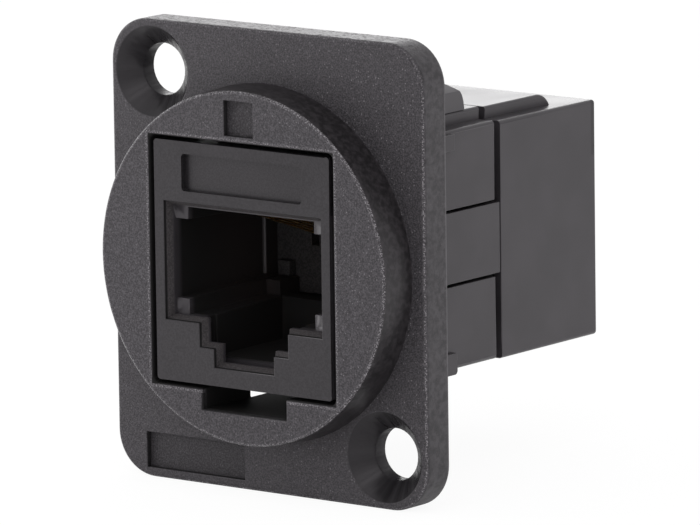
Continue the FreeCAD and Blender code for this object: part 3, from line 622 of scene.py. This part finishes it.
drift = noise(place, DRIFT_GRAIN)
ground = noise(place, GROUND_GRAIN)
speckle = noise(place, SPECKLE_GRAIN, roughness=0.7)
satin_mix = drift.rise(*DRIFT_CONTRAST) * (1 - GROUND_SHARE) + ground * GROUND_SHARE
shade = blend(SATIN_BLACK, SATIN_GREY, satin_mix)
shade = blend(shade, blend(FACE_SHADE_BLACK, FACE_SHADE_GREY, speckle.rise(*EVEN_CONTRAST)), face)
shade = blend(shade, GLINT_GREY, glint)
shade = blend(shade, blend(LIP_BLACK, LIP_GREY, speckle.rise(*LIP_CONTRAST)), lip)
satin = dress(material, {
    "Base Color": shade,
    "Roughness": SATIN + DRIFTED * drift + GROUND * ground + LEAD_IN * lip,
    "Normal": bump(ground + speckle * lip, GROUND_HEIGHT, GROUND_STRENGTH),
}, PLASTIC)
# painted shade in the throat, lifted at its far left
dull_where(satin, throat, blend(PAINTED_SHADE_BLACK, PAINTED_THROAT_LIFT, far_left))
# painted shade: a dark line along the land at the mouth's edge
dull_where(satin, land, PAINTED_SHADE_BLACK)
give(satin, "housing_plastic", *halves)

# %% [markdown]
# ## Inside: insulator, board and springs
#
# Little light reaches the inside. The insulators are the same family of black plastic with a coarser skin,
# the board is green laminate with its glass weave showing through, and the springs are bronze under thin
# gold, which lets the bronze show in patches. A plain colour would do for what is so dark, but the pieces
# are also looked at by themselves, so each gets its own small noise.

# %% Insulator finish
PORE_BLACK, PORE_GREY = (0.022, 0.0200, 0.0210, 1.0), (0.044, 0.0400, 0.0420, 1.0)
PORE_GRAIN, PORE_HEIGHT, PORE_STRENGTH = 0.14 * MM, 0.006 * MM, 0.5
COARSE, PORES_ADD, COARSE_SPECULAR = 0.55, 0.12, 0.2

material, place = new_finish("insulator_black")
pores = noise(place, PORE_GRAIN)
insulator_black = dress(material, {
    "Base Color": blend(PORE_BLACK, PORE_GREY, pores.rise(*EVEN_CONTRAST)),
    "Roughness": COARSE + PORES_ADD * pores,
    "Normal": bump(pores, PORE_HEIGHT, PORE_STRENGTH),
}, {"IOR": PLASTIC_IOR, "Specular IOR Level": COARSE_SPECULAR})
give(insulator_black, "carrier_plastic", *insulators)

# %% Board finish
LAMINATE_DARK, LAMINATE_GREEN = (0.010, 0.075, 0.030, 1.0), (0.020, 0.120, 0.045, 1.0)
WEAVE_PITCH, TINT_GRAIN, WEAVE_SHARE = 2.2 * MM, 1.5 * MM, 0.5
LACQUERED, TINT_ADDS = 0.32, 0.12

material, place = new_finish("green_laminate")
weave = place.node("ShaderNodeTexWave", {"wave_type": "BANDS", "bands_direction": "X"},
                   {"Vector": place, "Scale": 1 / WEAVE_PITCH, "Distortion": 1.0}, output="Fac")
tint = noise(place, TINT_GRAIN)
weave_mix = weave * WEAVE_SHARE + tint * (1 - WEAVE_SHARE)
laminate = dress(material, {
    "Base Color": blend(LAMINATE_DARK, LAMINATE_GREEN, weave_mix),
    "Roughness": LACQUERED + TINT_ADDS * tint,
}, {"IOR": PLASTIC_IOR})
give(laminate, "board_laminate", board)

# %% Spring finish
BRONZE, GOLD = (0.64, 0.38, 0.13, 1.0), (0.78, 0.52, 0.22, 1.0)
WEAR_GRAIN, PLATED, WEAR_ADDS = 0.5 * MM, 0.22, 0.16

material, place = new_finish("gold_on_bronze")
wear = noise(place, WEAR_GRAIN, detail=3.0)
plating = dress(material, {
    "Base Color": blend(BRONZE, GOLD, wear.rise(*EVEN_CONTRAST)),
    "Roughness": PLATED + WEAR_ADDS * wear,
}, {"Metallic": 1.0})
give(plating, "contact_metal", *springs)

# %% [markdown]
# ## A white table and an even light
#
# Black plastic shows what surrounds it more than its own colour, so the surroundings matter more than any
# lamp. They are an even white, brighter low down behind the part, which makes the tops gleam at a shallow
# angle, and a little brighter overhead, which draws the line on the boss's rim. One soft lamp at the left
# stands for a window: the left of the flange is paler than the right. The table is white to the camera and
# in reflections, and takes the part's shadow in both, because the screw holes mirror that shadow.

# %% Table finish
# each pair is what the table glows by itself and what it gives back of the light
TABLE_SEEN = (0.92, 0.10)
TABLE_MIRRORED = (0.20, 0.80)
TABLE_PLAIN = (0.12, 0.78)


def table_finish():
    """a white with one shader for the camera, one for reflections and one for all other light"""
    material = bpy.data.materials.new("white_table")
    material.use_nodes = True
    tree = material.node_tree
    tree.nodes.clear()
    seen = Wire(tree, tree.nodes.new("ShaderNodeLightPath").outputs["Is Camera Ray"])
    mirrored = seen.beside("Is Glossy Ray").at_least(seen.beside("Is Transmission Ray"))

    def lit(glow, shade):
        """a white that glows by itself and takes the part's shadow on the rest"""
        shine = seen.node("ShaderNodeEmission", None, {"Color": (glow, glow, glow, 1.0)})
        matt = seen.node("ShaderNodeBsdfDiffuse", None, {"Color": (shade, shade, shade, 1.0)})
        return seen.node("ShaderNodeAddShader", None, {0: shine, 1: matt})

    def either(mask, plain, chosen):
        """the chosen shader where a mask is 1 and the plain one elsewhere"""
        return seen.node("ShaderNodeMixShader", None, {0: mask, 1: plain, 2: chosen})

    surface = either(mirrored, lit(*TABLE_PLAIN), lit(*TABLE_MIRRORED))
    surface = either(seen, surface, lit(*TABLE_SEEN))
    seen.node("ShaderNodeOutputMaterial", None, {"Surface": surface})
    return material


# %% Table
TABLE_SIDE = 4.0

table_height = solid_box[0].z
shape = bmesh.new()
bmesh.ops.create_grid(shape, x_segments=1, y_segments=1, size=TABLE_SIDE / 2)
bmesh.ops.translate(shape, verts=shape.verts, vec=(0, 0, table_height))
table = as_object(shape, "table")
table.data.materials.append(table_finish())
print("table at", round(table_height / MM, 2), "mm")

# %% Surroundings
DAY = 0.77
BACK_GLOW, BACK_TIGHT, BEHIND = 2.4, 24.0, (-0.6, 0.78, 0.18)
TOP_GLOW, TOP_TIGHT, OVERHEAD = 1.0, 10.0, (0.34, -0.55, 0.76)

world = bpy.data.worlds.new("white_tent")
bpy.context.scene.world = world
world.use_nodes = True
tree = world.node_tree
tree.nodes.clear()
towards = Wire(tree, tree.nodes.new("ShaderNodeTexCoord").outputs["Generated"])


def glow(way, tight):
    """1 in the middle of a glow, fading to 0 away from it"""
    ends = {0: towards, 1: Vector(way).normalized()}
    facing = towards.node("ShaderNodeVectorMath", {"operation": "DOT_PRODUCT"}, ends, output="Value")
    return facing.at_least(0.0) ** tight


strength = DAY + BACK_GLOW * glow(BEHIND, BACK_TIGHT) + TOP_GLOW * glow(OVERHEAD, TOP_TIGHT)
tent = towards.node("ShaderNodeBackground", None, {"Color": (1.0, 1.0, 1.0, 1.0), "Strength": strength})
towards.node("ShaderNodeOutputWorld", None, {"Surface": tent})
print("surroundings:", DAY, "all round, glows", BACK_GLOW, "behind and", TOP_GLOW, "overhead")

# %% A soft lamp at the left
LAMP_PLACE = Vector((-80.0, -28.0, 15.0)) * MM
LAMP_SIZE = 60.0 * MM
LAMP_POWER = 0.022

lamp = bpy.data.lights.new("soft_lamp", "AREA")
lamp.size = LAMP_SIZE
lamp.energy = LAMP_POWER
lamp_stand = bpy.data.objects.new("soft_lamp", lamp)
aim = (-LAMP_PLACE).to_track_quat("-Z", "Y").to_matrix().to_4x4()
lamp_stand.matrix_world = Matrix.Translation(LAMP_PLACE) @ aim
bpy.context.collection.objects.link(lamp_stand)
print("lamp:", LAMP_POWER, "W at", round(LAMP_PLACE.length / MM), "mm")

# %% [markdown]
# ## The camera
#
# The part is seen from its front right and a little above, through a long lens. A camera aimed by eye
# would do for a picture, but not for comparing edges. So the angles, the distance and the focal length
# were worked out from the flange's edges and its two round holes.

# %% Camera
TURN = math.radians(37.627)
RISE = math.radians(10.081)
ROLL = math.radians(-0.777)
DISTANCE = 552.52 * MM
AIM = Vector((5.008, 0.0, 0.178)) * MM
NEAREST = 10.0 * MM
SENSOR = 36.0
FOCAL_PIXELS = 8402.1
PICTURE_WIDTH = 700

back = Vector((math.sin(TURN) * math.cos(RISE), -math.cos(TURN) * math.cos(RISE), math.sin(RISE)))
level = Vector((math.cos(TURN), math.sin(TURN), 0.0))
upright = back.cross(level)
right = level * math.cos(ROLL) + upright * math.sin(ROLL)
up = upright * math.cos(ROLL) - level * math.sin(ROLL)
facing = Matrix((right, up, back)).transposed().to_4x4()
lens = bpy.data.cameras.new("camera")
lens.sensor_width = SENSOR
lens.lens = FOCAL_PIXELS * SENSOR / PICTURE_WIDTH
lens.clip_start = NEAREST
camera = bpy.data.objects.new("camera", lens)
camera.matrix_world = Matrix.Translation(AIM + back * DISTANCE) @ facing
bpy.context.collection.objects.link(camera)
bpy.context.scene.camera = camera
bpy.context.scene.view_settings.view_transform = "Standard"
print("lens:", round(lens.lens, 1), "mm")
